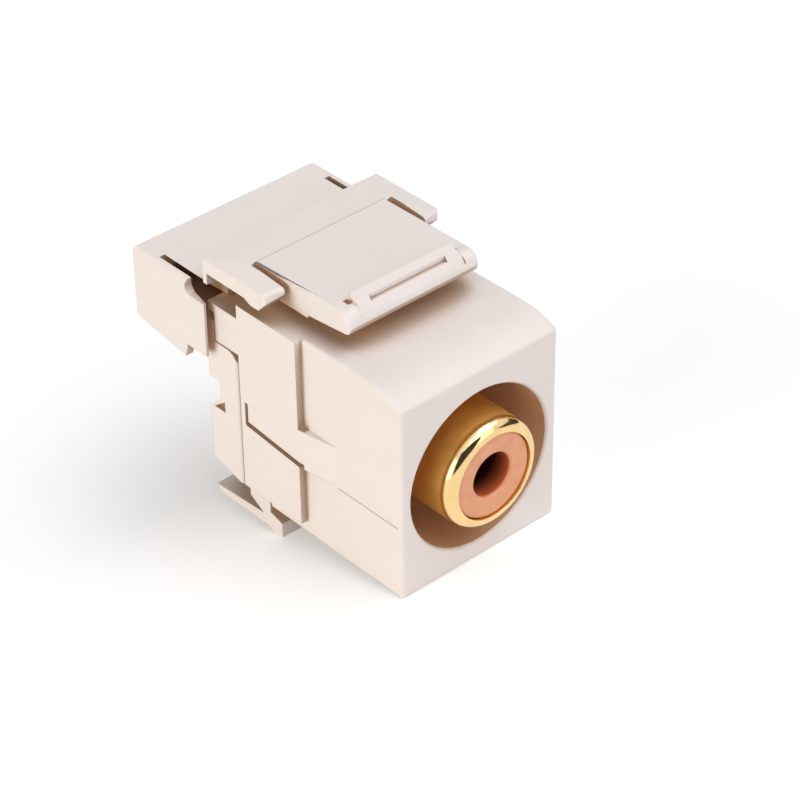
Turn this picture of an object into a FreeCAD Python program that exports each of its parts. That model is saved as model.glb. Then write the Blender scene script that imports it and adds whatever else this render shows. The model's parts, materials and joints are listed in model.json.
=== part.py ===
import FreeCAD
import Part
import math
import os
import re
import Sketcher

from FreeCAD import Vector

# Driving dimensions in millimetres.
# Heights count up from the housing's underside, setbacks count back from its front face.
SIZES = {
    # Front housing
    "body_width": 14.4,
    "body_height": 16.64,
    "axis_height": 7.75,
    "crown_radius": 7.0,
    "crown_run": 3.25,
    "edge_radius": 0.3,
    "rim_chamfer": 0.15,
    "recess_diameter": 12.6,
    "recess_depth": 8.6,
    "floor_thickness": 1.6,
    "side_wall": 0.9,
    "base_wall": 1.3,
    "top_wall": 1.3,
    "board_ledge": 0.8,
    # Shoulders, side tabs and snap pads of the front housing
    "shoulder_setback": 10.0,
    "shoulder_step": 0.55,
    "shoulder_drop": 7.24,
    "tab_drop": 1.14,
    "tab_height": 3.05,
    "bar_reach": 0.65,
    "bar_height": 0.7,
    "bridge_height": 0.8,
    "pad_base": 1.15,
    "pad_front_height": 5.0,
    "pad_rear_height": 5.6,
    "ramp_setback": 6.6,
    "slot_height": 0.45,
    "slot_inset": 0.55,
    "slot_turn_length": 0.3,
    "slot_turn_height": 1.5,
    "seam_radius": 0.15,
    "parting_drop": 0.1,
    "parting_width": 0.1,
    "parting_depth": 0.05,
    "parting_inset": 0.4,
    # Lower catch of the front housing
    "catch_width": 14.6,
    "catch_front": 12.74,
    "catch_depth": 2.02,
    "catch_nose_drop": 0.7,
    "catch_tooth_length": 1.2,
    "catch_web_front": 14.0,
    "catch_web_drop": 0.35,
    "catch_crotch": 14.8,
    "catch_crotch_drop": 0.85,
    "catch_tail_proud": 0.5,
    "catch_tail_drop": 1.17,
    "catch_tail_thickness": 0.56,
    # Rear cap
    "cap_overhang": 1.32,
    "cap_rise": 0.06,
    "cap_gap": 2.5,
    "cap_length": 8.07,
    "cap_skin": 1.1,
    "cap_wall": 0.65,
    "cap_lip": 0.2,
    "lead_in_length": 2.0,
    "cap_side_radius": 0.5,
    "cap_rear_radius": 0.25,
    "cap_rear_wall": 0.9,
    "cap_rear_drop": 5.64,
    "cap_tip_run": 0.3,
    "cap_tip_drop": 6.5,
    "cap_step_drop": 5.37,
    "scoop_length": 2.1,
    "scoop_drop": 0.95,
    "scoop_radius": 0.55,
    "slit_length": 5.65,
    "slit_width": 0.45,
    "tongue_undercut": 1.05,
    # Flexible latch, with heights above the housing's top
    "latch_overlap": 0.55,
    "latch_web": 0.6,
    "latch_rise": 2.5,
    "latch_gap": 1.36,
    "ear_span": 16.0,
    "ear_length": 6.93,
    "ear_rise": 2.6,
    "ear_nose_gap": 2.15,
    "ear_hook_gap": 1.05,
    "hook_run": 0.98,
    "hook_length": 0.9,
    "ear_sweep": 0.3,
    "ear_edge_radius": 0.3,
    "nib_gap": 0.45,
    "nib_length": 0.4,
    "crease_reach": 3.41,
    "crease_rise": 2.85,
    "crease_groove": 0.1,
    "tab_rear_width": 12.0,
    "tab_front_width": 11.8,
    "tab_edge_radius": 0.35,
    "tab_skin": 1.0,
    "skirt_wall": 0.9,
    "tab_slot_width": 0.42,
    "tab_front": 6.35,
    "tab_rise": 3.0,
    "tab_nose_radius": 1.0,
    "tab_lip_gap": 1.48,
    "skirt_gap": 0.87,
    "skirt_step": 0.22,
    "skirt_step_setback": 10.65,
    "ridge_foot_width": 9.5,
    "ridge_crest_width": 8.78,
    "ridge_rise": 3.77,
    "ridge_foot_rise": 2.45,
    "ridge_front": 6.6,
    "ridge_crest_setback": 7.6,
    "ridge_rear": 7.9,
    "groove_width": 6.9,
    "groove_depth": 0.16,
    "groove_height": 0.42,
    "end_notch_width": 0.4,
    "end_notch_length": 0.6,
    "end_notch_depth": 0.35,
    "end_notch_overlap": 0.2,
    # Terminal block
    "fit_clearance": 0.1,
    "seat_clearance": 0.05,
    "strap_drop": 2.64,
    "rim_reach": 1.7,
    "rim_wall": 0.9,
    "rim_bar": 0.7,
    "flange_base": 1.05,
    "flange_thickness": 3.2,
    "flange_heel_height": 1.85,
    "flange_shoulder_height": 9.1,
    "flange_notch_depth": 1.2,
    "flange_notch_height": 7.6,
    "flange_ramp_height": 6.4,
    "flange_top_drop": 4.3,
    "flange_corner": 1.0,
    "dent_depth": 0.4,
    "dent_inset": 0.15,
    "strip_inset": 0.27,
    "strip_height": 2.7,
    "wire_slot_count": 4,
    "wire_pitch": 3.81,
    "wire_slot_width": 0.9,
    "wire_mouth_width": 2.3,
    "wire_slot_height": 2.1,
    "wire_mouth_height": 0.9,
    # Wire contacts
    "contact_gauge": 0.4,
    "contact_inset": 3.5,
    "contact_strap_width": 2.2,
    "contact_fork_width": 2.6,
    "contact_fork_height": 2.3,
    "contact_gap": 0.3,
    "contact_gap_height": 1.5,
    "contact_tail_width": 1.0,
    "contact_tail_proud": 0.5,
    # Circuit board
    "board_gap": 0.5,
    "board_thickness": 1.2,
    # Jack
    "barrel_diameter": 8.4,
    "barrel_proud": 1.45,
    "barrel_edge_radius": 0.8,
    "barrel_wall": 0.84,
    "neck_wall": 0.77,
    "neck_proud": 0.2,
    "seat_thickness": 1.05,
    "insulator_proud": 1.3,
    "insulator_wall": 0.42,
    "insulator_edge_radius": 0.2,
    "press_clearance": 0.03,
    "pin_hole_diameter": 3.36,
    "pin_hole_lip": 0.35,
    "pin_hole_length": 2.7,
    "socket_gap": 0.55,
    "socket_bore": 3.1,
    "socket_wall": 0.3,
    "socket_depth": 7.05,
    "socket_slit_length": 5.55,
    "socket_slit_width": 0.4,
    "socket_inset": 0.3,
    "contact_pin_diameter": 1.2,
    "tail_proud": 0.6,
    # Jack fasteners
    "lug_thickness": 0.4,
    "lug_band": 1.3,
    "lug_tail_width": 1.8,
    "lug_gap": 0.15,
    "washer_thickness": 0.5,
    "washer_band": 1.5,
    "washer_tooth_depth": 0.35,
    "washer_tooth_width": 0.9,
    "washer_tooth_count": 8,
    "nut_wall": 0.9,
    "nut_thickness": 1.8,
}

# Sketch planes: from the side (back, up), from the front (across, up) and from above (across, back)
SIDE = "YZ_Plane"
FRONT = "XZ_Plane"
PLAN = "XY_Plane"

# Formulas that several pieces share
HALF = "body_width / 2"
SHOULDER_HALF = f"({HALF} + shoulder_step)"
BAY_HALF = f"({HALF} - side_wall)"
CAP_HALF = f"({HALF} + cap_overhang)"
CAP_INNER_HALF = f"({CAP_HALF} - cap_wall)"
TONGUE_HALF = f"({CAP_INNER_HALF} - slit_width)"
TOP = "body_height"
CAP_TOP = "(body_height + cap_rise)"
STRAP_LEVEL = "(body_height - strap_drop)"

# Setbacks, stacked from the recess to the rear
FLOOR_REAR = "(recess_depth + floor_thickness)"
LUG_REAR = f"({FLOOR_REAR} + lug_thickness)"
WASHER_REAR = f"({LUG_REAR} + washer_thickness)"
NUT_REAR = f"({WASHER_REAR} + nut_thickness)"
NECK_END = f"({NUT_REAR} + neck_proud)"
SOCKET_END = f"({NECK_END} - socket_inset)"
INSULATOR_SEAT = "(recess_depth - seat_thickness)"
PIN_HOLE_END = "(pin_hole_length - insulator_proud)"
BOARD_FRONT = f"({NUT_REAR} + board_gap)"
BOARD_REAR = f"({BOARD_FRONT} + board_thickness)"
TAIL_END = f"({BOARD_REAR} + tail_proud)"
HOUSING_REAR = f"({BOARD_REAR} + rim_reach)"
FLANGE_FRONT = f"({HOUSING_REAR} + fit_clearance)"
FLANGE_REAR = f"({FLANGE_FRONT} + flange_thickness)"
NOTCH_FLOOR = f"({FLANGE_REAR} - flange_notch_depth)"
CATCH_WEB_REAR = f"({HOUSING_REAR} - fit_clearance)"
CATCH_END = f"({FLANGE_REAR} + catch_tail_proud)"
CAP_FRONT = f"({HOUSING_REAR} + cap_gap)"
CAP_REAR = f"({CAP_FRONT} + cap_length)"
SCOOP_END = f"({CAP_FRONT} + scoop_length)"
CAP_TIP = f"({SCOOP_END} + cap_tip_run)"
SLIT_END = f"({CAP_FRONT} + slit_length)"
STRIP_REAR = f"({CAP_REAR} - strip_inset)"
CONTACT_FRONT = f"({STRIP_REAR} - contact_inset)"
LATCH_REAR = f"({CAP_FRONT} + latch_overlap)"
CREASE = f"({LATCH_REAR} - crease_reach)"
EAR_FRONT = f"({LATCH_REAR} - ear_length)"
HOOK_FRONT = f"({EAR_FRONT} + hook_run)"
HOOK_REAR = f"({HOOK_FRONT} + hook_length)"

# Radii, stacked from the plug's pin to the washer and from the barrel to the insulator
SOCKET_RADIUS = "(socket_bore / 2 + socket_wall)"
CHAMBER_RADIUS = f"({SOCKET_RADIUS} + press_clearance)"
STEM_RADIUS = f"({CHAMBER_RADIUS} + insulator_wall)"
STEM_BORE_RADIUS = f"({STEM_RADIUS} + press_clearance)"
NECK_RADIUS = f"({STEM_BORE_RADIUS} + neck_wall)"
LUG_RADIUS = f"({NECK_RADIUS} + lug_band)"
WASHER_RADIUS = f"({NECK_RADIUS} + washer_band)"
NUT_FLAT_RADIUS = f"({NECK_RADIUS} + nut_wall)"
LUG_TOP = f"({WASHER_RADIUS} + lug_gap + lug_thickness)"
BARREL_RADIUS = "(barrel_diameter / 2)"
LIP_BORE_RADIUS = f"({BARREL_RADIUS} - barrel_wall)"
HEAD_RADIUS = f"({LIP_BORE_RADIUS} - press_clearance)"
BENCH_HEIGHT = "-axis_height"

# Tolerance for picking edges by their place
NEAR = 1e-3

doc = FreeCAD.newDocument("keystone_connector")
sheet = doc.addObject("Spreadsheet::Sheet", "Sizes")


def fill_sheet():
    """Put every driving dimension in the sheet, with its name as alias."""
    for row, (name, size) in enumerate(SIZES.items(), 1):
        sheet.set(f"A{row}", name)
        sheet.set(f"B{row}", str(size))
        sheet.setAlias(f"B{row}", name)
    doc.recompute()


def formula(text):
    """Point the size names in a formula at the sheet."""

    def in_sheet(word):
        name = word.group()
        return f"Sizes.{name}" if name in SIZES else name

    return re.sub(r"[a-z_]+", in_sheet, text)


def number(text):
    """Work out a formula's present value."""
    return float(sheet.evalExpression(formula(text)))


def new_body(label, height="0"):
    """Start a sub-part whose local zero height lies at the given height over the jack's axis."""
    body = doc.addObject("PartDesign::Body", label)
    body.Label = label
    body.setExpression("Placement.Base.z", formula(height))
    return body


def new_sketch(body, name, plane, offset="0"):
    """Attach a sketch to one of the body's own planes, moved along the plane's normal."""
    sketch = body.newObject("Sketcher::SketchObject", name)
    support = next(item for item in body.Origin.OriginFeatures if item.Role == plane)
    sketch.AttachmentSupport = [(support, "")]
    sketch.MapMode = "FlatFace"
    sketch.setExpression("AttachmentOffset.Base.z", formula(offset))
    return sketch


def arc_between(start, end, radius):
    """Give the short arc from start to end, turning left for a positive radius."""
    chord = end - start
    middle = (start + end) * 0.5
    left = Vector(-chord.y, chord.x, 0).normalize()
    reach = math.sqrt(radius**2 - (chord.Length / 2) ** 2)
    centre = middle + left * math.copysign(reach, radius)
    first, last = (start, end) if radius > 0 else (end, start)
    angle_from = math.atan2(first.y - centre.y, first.x - centre.x)
    angle_to = math.atan2(last.y - centre.y, last.x - centre.x)
    circle = Part.Circle(centre, Vector(0, 0, 1), abs(radius))
    return Part.ArcOfCircle(circle, angle_from, angle_to)


def bind(sketch, constraint, text):
    """Add a dimension to a sketch and tie it to the sheet."""
    index = sketch.addConstraint(constraint)
    sketch.setExpression(f"Constraints[{index}]", formula(text))


def draw(sketch, points):
    """Draw a closed outline. A third entry of a point is the radius of the arc to the next one."""
    places = [Vector(number(point[0]), number(point[1]), 0) for point in points]
    ends = []
    for point, start, end in zip(points, places, places[1:] + places[:1]):
        radius = number(point[2]) if len(point) == 3 else 0
        line = arc_between(start, end, radius) if radius else Part.LineSegment(start, end)
        index = sketch.addGeometry(line, False)
        ends.append((index, 2, 1) if radius < 0 else (index, 1, 2))
        if radius:
            bind(sketch, Sketcher.Constraint("Radius", index, abs(radius)), f"abs({point[2]})")
    for (index, start, _), (before, _, end) in zip(ends, ends[-1:] + ends[:-1]):
        sketch.addConstraint(Sketcher.Constraint("Coincident", before, end, index, start))
    for point, place, (index, start, _) in zip(points, places, ends):
        bind(sketch, Sketcher.Constraint("DistanceX", -1, 1, index, start, place.x), point[0])
        bind(sketch, Sketcher.Constraint("DistanceY", -1, 1, index, start, place.y), point[1])


def draw_both_sides(sketch, points):
    """Draw an outline and its mirror image across the part's middle plane."""
    draw(sketch, points)
    draw(sketch, [(f"-({across})", up) for across, up in points])


def draw_box(sketch, left, right, low, high):
    """Draw a rectangle."""
    draw(sketch, [(left, low), (right, low), (right, high), (left, high)])


def draw_circle(sketch, up, diameter):
    """Draw a circle on the middle plane."""
    centre = Vector(0, number(up), 0)
    radius = number(diameter) / 2
    index = sketch.addGeometry(Part.Circle(centre, Vector(0, 0, 1), radius), False)
    bind(sketch, Sketcher.Constraint("DistanceX", -1, 1, index, 3, 0), "0")
    bind(sketch, Sketcher.Constraint("DistanceY", -1, 1, index, 3, centre.y), up)
    bind(sketch, Sketcher.Constraint("Radius", index, radius), f"({diameter}) / 2")


def volume(body):
    """Give the volume of what the body holds so far."""
    return body.Shape.Volume if body.Tip else 0.0


def extrude(body, kind, name, sketch, length, both=False, reverse=False):
    """Pad or pocket a sketch, and make sure that it changed the solid."""
    before = volume(body)
    feature = body.newObject(f"PartDesign::{kind}", name)
    feature.Profile = sketch
    feature.SideType = "Symmetric" if both else "One side"
    feature.Reversed = reverse
    feature.setExpression("Length", formula(length))
    doc.recompute()
    grown = volume(body) - before
    if (grown > 0) != (kind == "Pad") or grown == 0:
        raise RuntimeError(f"{body.Label}: {name} changed the volume by {grown:.3f}")
    return feature


def pad(body, name, sketch, length, **ways):
    """Add material along a sketch's normal."""
    return extrude(body, "Pad", name, sketch, length, **ways)


def pocket(body, name, sketch, length, **ways):
    """Cut material against a sketch's normal."""
    return extrude(body, "Pocket", name, sketch, length, **ways)


def revolve(body, name, sketch):
    """Turn a side sketch about the jack's axis."""
    feature = body.newObject("PartDesign::Revolution", name)
    feature.Profile = sketch
    feature.ReferenceAxis = (sketch, ["H_Axis"])
    feature.Angle = 360
    doc.recompute()
    return feature


def soften(body, kind, name, dimension, size, wanted):
    """Fillet or chamfer the edges of the body's last feature that pass a test."""
    base = body.Tip
    edges = [f"Edge{index}" for index, edge in enumerate(base.Shape.Edges, 1) if wanted(edge)]
    feature = body.newObject(f"PartDesign::{kind}", name)
    feature.Base = (base, edges)
    feature.setExpression(dimension, formula(size))
    doc.recompute()
    return feature


def round_edges(body, name, radius, wanted):
    """Round the edges that pass a test."""
    return soften(body, "Fillet", name, "Radius", radius, wanted)


def chamfer_edges(body, name, size, wanted):
    """Chamfer the edges that pass a test."""
    return soften(body, "Chamfer", name, "Size", size, wanted)


def front_housing():
    """Square front moulding: recess, shoulders, snap pads, rear bay and lower catch."""
    body = new_body("front_housing", BENCH_HEIGHT)

    # Block with a crowned top front edge
    crown_foot = f"{TOP} - crown_radius + sqrt(crown_radius ^ 2 - crown_run ^ 2)"
    side = new_sketch(body, "block_outline", SIDE)
    draw(
        side,
        [
            ("0", "0"),
            (HOUSING_REAR, "0"),
            (HOUSING_REAR, TOP),
            ("crown_run", TOP, "crown_radius"),
            ("0", crown_foot),
        ],
    )
    pad(body, "block", side, "body_width", both=True)
    half_width = number(HALF)
    housing_rear = number(HOUSING_REAR)

    def on_block_outside(edge):
        place = edge.CenterOfMass
        on_side = abs(abs(place.x) - half_width) < NEAR
        on_front = place.y < NEAR
        return (on_side or on_front) and place.y < housing_rear - NEAR

    round_edges(body, "block_edges", "edge_radius", on_block_outside)

    # Shoulders that stop the panel, with the tabs and the bar that reach back to the hood
    tab_top = f"{TOP} - tab_drop"
    tab_rear = f"{CAP_FRONT} - fit_clearance"
    shoulder = new_sketch(body, "shoulder_outline", SIDE)
    draw(
        shoulder,
        [
            ("shoulder_setback", f"{TOP} - shoulder_drop"),
            (HOUSING_REAR, f"{TOP} - shoulder_drop"),
            (HOUSING_REAR, f"{tab_top} - tab_height"),
            (tab_rear, f"{tab_top} - tab_height"),
            (tab_rear, f"{tab_top} - bar_height"),
            (f"{tab_rear} + bar_reach", f"{tab_top} - bar_height"),
            (f"{tab_rear} + bar_reach", tab_top),
            (HOUSING_REAR, tab_top),
            (HOUSING_REAR, TOP),
            ("shoulder_setback", TOP),
        ],
    )
    pad(body, "shoulders", shoulder, f"2 * {SHOULDER_HALF}", both=True)

    # Ribs that ramp up to full width between the shoulders and the snap pads
    rib = new_sketch(body, "rib_plan", PLAN, f"{TOP} - shoulder_drop")
    draw_both_sides(
        rib,
        [
            (HALF, "ramp_setback"),
            (SHOULDER_HALF, "shoulder_setback"),
            (SHOULDER_HALF, HOUSING_REAR),
            (f"{HALF} - side_wall / 2", HOUSING_REAR),
            (f"{HALF} - side_wall / 2", "ramp_setback"),
        ],
    )
    rib_height = f"{TOP} - shoulder_drop - pad_base - pad_front_height"
    pad(body, "ribs", rib, rib_height, reverse=True)

    # Snap pads low on both sides
    snap = new_sketch(body, "snap_pad_outline", SIDE)
    draw(
        snap,
        [
            ("shoulder_setback", "pad_base"),
            (HOUSING_REAR, "pad_base"),
            (HOUSING_REAR, "pad_base + pad_rear_height"),
            ("shoulder_setback", "pad_base + pad_front_height"),
        ],
    )
    pad(body, "snap_pads", snap, f"2 * {SHOULDER_HALF}", both=True)

    shoulder_half = number(SHOULDER_HALF)

    def on_rear_seam(edge):
        place = edge.CenterOfMass
        on_side = abs(abs(place.x) - shoulder_half) < NEAR
        return on_side and abs(place.y - housing_rear) < NEAR

    round_edges(body, "rear_seams", "seam_radius", on_rear_seam)

    # Lower catch: a tooth and a tail on one slanting web
    catch = new_sketch(body, "catch_outline", SIDE)
    tail_foot = "-catch_tail_drop - catch_tail_thickness"
    draw(
        catch,
        [
            ("catch_web_front", "base_wall / 2"),
            ("catch_web_front", "-catch_web_drop"),
            ("catch_front", "-catch_nose_drop"),
            ("catch_front", "-catch_depth"),
            ("catch_front + catch_tooth_length", "-catch_depth"),
            ("catch_front + catch_tooth_length + catch_web_drop", tail_foot),
            (f"{CATCH_END} - catch_web_drop", tail_foot),
            (CATCH_END, "-catch_tail_drop"),
            ("catch_crotch", "-catch_crotch_drop"),
            (CATCH_WEB_REAR, "0"),
            (CATCH_WEB_REAR, "base_wall / 2"),
        ],
    )
    pad(body, "catch", catch, "catch_width", both=True)

    # Round recess and the hole for the jack's neck
    face = new_sketch(body, "recess_circle", FRONT)
    draw_circle(face, "axis_height", "recess_diameter")
    pocket(body, "recess", face, "recess_depth")
    rim_length = math.pi * number("recess_diameter")

    def on_recess_rim(edge):
        return abs(edge.Length - rim_length) < NEAR and edge.CenterOfMass.y < NEAR

    chamfer_edges(body, "recess_rim", "rim_chamfer", on_recess_rim)
    hole = new_sketch(body, "neck_circle", FRONT)
    draw_circle(hole, "axis_height", f"2 * ({NECK_RADIUS} + fit_clearance)")
    pocket(body, "neck_hole", hole, FLOOR_REAR)

    # Rear bay: room for the nut, a wider bay with a ledge for the board, and the gate between the tabs
    narrow = f"({BAY_HALF} - board_ledge)"
    room = new_sketch(body, "nut_room_outline", FRONT, f"-{FLOOR_REAR}")
    draw_box(
        room, f"-{narrow}", narrow, "base_wall + board_ledge", f"{TOP} - top_wall - board_ledge"
    )
    pocket(body, "nut_room", room, f"{HOUSING_REAR} - {FLOOR_REAR}")
    bay = new_sketch(body, "board_bay_outline", FRONT, f"-{BOARD_FRONT}")
    draw_box(bay, f"-{BAY_HALF}", BAY_HALF, "base_wall", f"{TOP} - top_wall")
    pocket(body, "board_bay", bay, f"{HOUSING_REAR} - {BOARD_FRONT}")
    gate = new_sketch(body, "tab_gate_outline", FRONT, f"-{HOUSING_REAR}")
    draw_box(gate, f"-{BAY_HALF}", BAY_HALF, "base_wall", f"{tab_top} - bridge_height")
    pocket(body, "tab_gate", gate, f"{CAP_FRONT} - {HOUSING_REAR}")

    # Slot above each snap pad, turning up at the rear
    def pad_top(setback):
        slope = f"(pad_rear_height - pad_front_height) / ({HOUSING_REAR} - shoulder_setback)"
        return f"pad_base + pad_front_height + {slope} * ({setback} - shoulder_setback)"

    slot_front = "(shoulder_setback - slot_height)"
    slot_end = f"({HOUSING_REAR} - slot_inset)"
    turn = f"({slot_end} - slot_turn_length)"
    turn_top = f"{pad_top(slot_end)} + slot_height + slot_turn_height"
    for sign in ("-", ""):
        slot = new_sketch(body, "pad_slot_outline", SIDE, f"{sign}{SHOULDER_HALF}")
        draw(
            slot,
            [
                (slot_front, pad_top(slot_front)),
                (slot_end, pad_top(slot_end)),
                (slot_end, turn_top),
                (turn, turn_top),
                (turn, f"{pad_top(turn)} + slot_height"),
                (slot_front, f"{pad_top(slot_front)} + slot_height"),
            ],
        )
        pocket(body, "pad_slot", slot, f"{SHOULDER_HALF} - {BAY_HALF}", reverse=bool(sign))

    # Parting line from each rib to the front
    parting_top = "pad_base + pad_front_height - parting_drop"
    for sign in ("-", ""):
        line = new_sketch(body, "parting_line_outline", SIDE, f"{sign}{HALF}")
        draw_box(line, "parting_inset", "ramp_setback", f"{parting_top} - parting_width", parting_top)
        pocket(body, "parting_line", line, "parting_depth", reverse=bool(sign))
    return body


def latch_cap():
    """Hood over the rear, with a slit tongue that carries the flexible latch."""
    body = new_body("latch_cap", BENCH_HEIGHT)

    # Hood: side walls with a slanting lower edge
    side = new_sketch(body, "hood_outline", SIDE)
    draw(
        side,
        [
            (CAP_FRONT, f"{CAP_TOP} - cap_step_drop"),
            (SCOOP_END, f"{CAP_TOP} - cap_step_drop"),
            (CAP_TIP, f"{CAP_TOP} - cap_tip_drop"),
            (CAP_REAR, f"{CAP_TOP} - cap_rear_drop"),
            (CAP_REAR, CAP_TOP),
            (CAP_FRONT, CAP_TOP),
        ],
    )
    pad(body, "hood", side, f"2 * {CAP_HALF}", both=True)

    cap_half = number(CAP_HALF)
    cap_rear = number(CAP_REAR)
    cap_top = number(CAP_TOP)

    def on_hood_side(edge):
        place = edge.CenterOfMass
        on_side = abs(abs(place.x) - cap_half) < NEAR
        return on_side and abs(place.z - cap_top) < NEAR

    def on_hood_rear(edge):
        place = edge.CenterOfMass
        on_rear = abs(place.y - cap_rear) < NEAR
        return on_rear and abs(place.z - cap_top) < NEAR

    round_edges(body, "hood_side_edges", "cap_side_radius", on_hood_side)
    round_edges(body, "hood_rear_edges", "cap_rear_radius", on_hood_rear)

    # Inside of the hood, open below and behind
    inside_top = f"{CAP_TOP} - cap_skin"
    block_top = f"{STRAP_LEVEL} + seat_clearance"
    inside = new_sketch(body, "hood_inside", SIDE)
    draw(
        inside,
        [
            (f"{CAP_FRONT} - cap_wall", f"{CAP_TOP} - cap_tip_drop - cap_wall"),
            (f"{CAP_REAR} + cap_wall", f"{CAP_TOP} - cap_tip_drop - cap_wall"),
            (f"{CAP_REAR} + cap_wall", block_top),
            (f"{CAP_REAR} - cap_rear_wall", block_top),
            (f"{CAP_REAR} - cap_rear_wall", inside_top),
            (f"{CAP_FRONT} - cap_wall", inside_top),
        ],
    )
    pocket(body, "hood_room", inside, f"2 * {CAP_INNER_HALF}", both=True)

    # Window around the tongue, and the scoops in the walls beside it
    window = new_sketch(body, "tongue_window", PLAN, CAP_TOP)
    draw_box(window, f"-{CAP_INNER_HALF}", CAP_INNER_HALF, f"{CAP_FRONT} - cap_wall", SLIT_END)
    pocket(body, "tongue_opening", window, "cap_skin")
    scoop = new_sketch(body, "scoop_outline", SIDE)
    scoop_floor = f"{CAP_TOP} - scoop_drop"
    draw(
        scoop,
        [
            (f"{CAP_FRONT} - cap_wall", scoop_floor),
            (f"{SCOOP_END} - scoop_radius", scoop_floor, "scoop_radius"),
            (SCOOP_END, f"{scoop_floor} + scoop_radius"),
            (SCOOP_END, f"{CAP_TOP} + cap_wall"),
            (f"{CAP_FRONT} - cap_wall", f"{CAP_TOP} + cap_wall"),
        ],
    )
    pocket(body, "scoops", scoop, f"4 * {CAP_HALF}", both=True)

    # Lead-in that thins the walls to a lip at the front
    lead_in = new_sketch(body, "lead_in_plan", PLAN, CAP_TOP)
    lip_half = f"{CAP_HALF} - cap_lip"
    draw_both_sides(
        lead_in,
        [
            (TONGUE_HALF, f"{CAP_FRONT} - cap_wall"),
            (lip_half, f"{CAP_FRONT} - cap_wall"),
            (lip_half, CAP_FRONT),
            (CAP_INNER_HALF, f"{CAP_FRONT} + lead_in_length"),
            (TONGUE_HALF, f"{CAP_FRONT} + lead_in_length"),
        ],
    )
    pocket(body, "lead_ins", lead_in, "cap_tip_drop")

    # Tongue, undercut along its slits, and the narrower web that lifts the latch over the housing
    web_front = f"{LATCH_REAR} - latch_web"
    plate_foot = f"{TOP} + latch_gap"
    web_half = f"({TONGUE_HALF} - tongue_undercut)"
    tongue = new_sketch(body, "tongue_section", FRONT, f"-{LATCH_REAR}")
    draw(
        tongue,
        [
            (f"-{web_half}", inside_top),
            (web_half, inside_top),
            (TONGUE_HALF, CAP_TOP),
            (f"-{TONGUE_HALF}", CAP_TOP),
        ],
    )
    pad(body, "tongue", tongue, f"{SLIT_END} + cap_skin - {LATCH_REAR}", reverse=True)
    web = new_sketch(body, "web_outline", SIDE)
    draw_box(web, web_front, LATCH_REAR, inside_top, f"{TOP} + latch_rise")
    pad(body, "web", web, f"2 * {web_half}", both=True)

    # Plate with the two ears, hooked down at the front and with a nib at the rear
    ears = new_sketch(body, "ear_outline", SIDE)
    draw(
        ears,
        [
            (LATCH_REAR, f"{TOP} + nib_gap"),
            (LATCH_REAR, f"{TOP} + latch_rise"),
            (CREASE, f"{TOP} + crease_rise"),
            (EAR_FRONT, f"{TOP} + ear_rise"),
            (EAR_FRONT, f"{TOP} + ear_nose_gap"),
            (HOOK_FRONT, f"{TOP} + ear_hook_gap"),
            (HOOK_REAR, f"{TOP} + ear_hook_gap"),
            (f"{HOOK_REAR} + latch_web", plate_foot),
            (f"{LATCH_REAR} - nib_length", plate_foot),
            (f"{LATCH_REAR} - nib_length", f"{TOP} + nib_gap"),
        ],
    )
    pad(body, "ear_plate", ears, "ear_span", both=True)

    # Ears that fall away to the sides, while the middle rises to the crease
    fall = new_sketch(body, "ear_slope_section", FRONT, f"-{EAR_FRONT}")
    draw_both_sides(
        fall,
        [
            ("tab_rear_width / 2", f"{TOP} + crease_rise"),
            ("ear_span / 2", f"{TOP} + latch_rise"),
            ("ear_span / 2", f"{TOP} + crease_rise"),
        ],
    )
    pocket(body, "ear_slopes", fall, f"{LATCH_REAR} - {EAR_FRONT}")

    # Swept ear fronts and the slots beside the tab
    slot_inner = "tab_rear_width / 2"
    slot_outer = "tab_rear_width / 2 + tab_slot_width"
    cut = new_sketch(body, "ear_plan", PLAN, f"{TOP} + ridge_rise")
    draw_both_sides(
        cut,
        [
            (slot_inner, CREASE),
            (slot_inner, f"{EAR_FRONT} - ear_sweep"),
            ("ear_span / 2 + ear_sweep", f"{EAR_FRONT} - ear_sweep"),
            ("ear_span / 2 + ear_sweep", f"{EAR_FRONT} + 2 * ear_sweep"),
            ("ear_span / 2", f"{EAR_FRONT} + 2 * ear_sweep"),
            ("ear_span / 2 - ear_sweep / 2", f"{EAR_FRONT} + ear_sweep"),
            (slot_outer, EAR_FRONT),
            (slot_outer, CREASE),
        ],
    )
    pocket(body, "ear_slots", cut, "ridge_rise")
    ear_inner = number(slot_outer) - NEAR
    ear_brow = number(f"{EAR_FRONT} + ear_sweep")
    ear_nose = number(f"{TOP} + ear_nose_gap") + NEAR

    def on_ear_brow(edge):
        place = edge.CenterOfMass
        high = edge.BoundBox.ZMin > ear_nose
        return high and abs(place.x) > ear_inner and place.y < ear_brow

    round_edges(body, "ear_brows", "ear_edge_radius", on_ear_brow)

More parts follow.
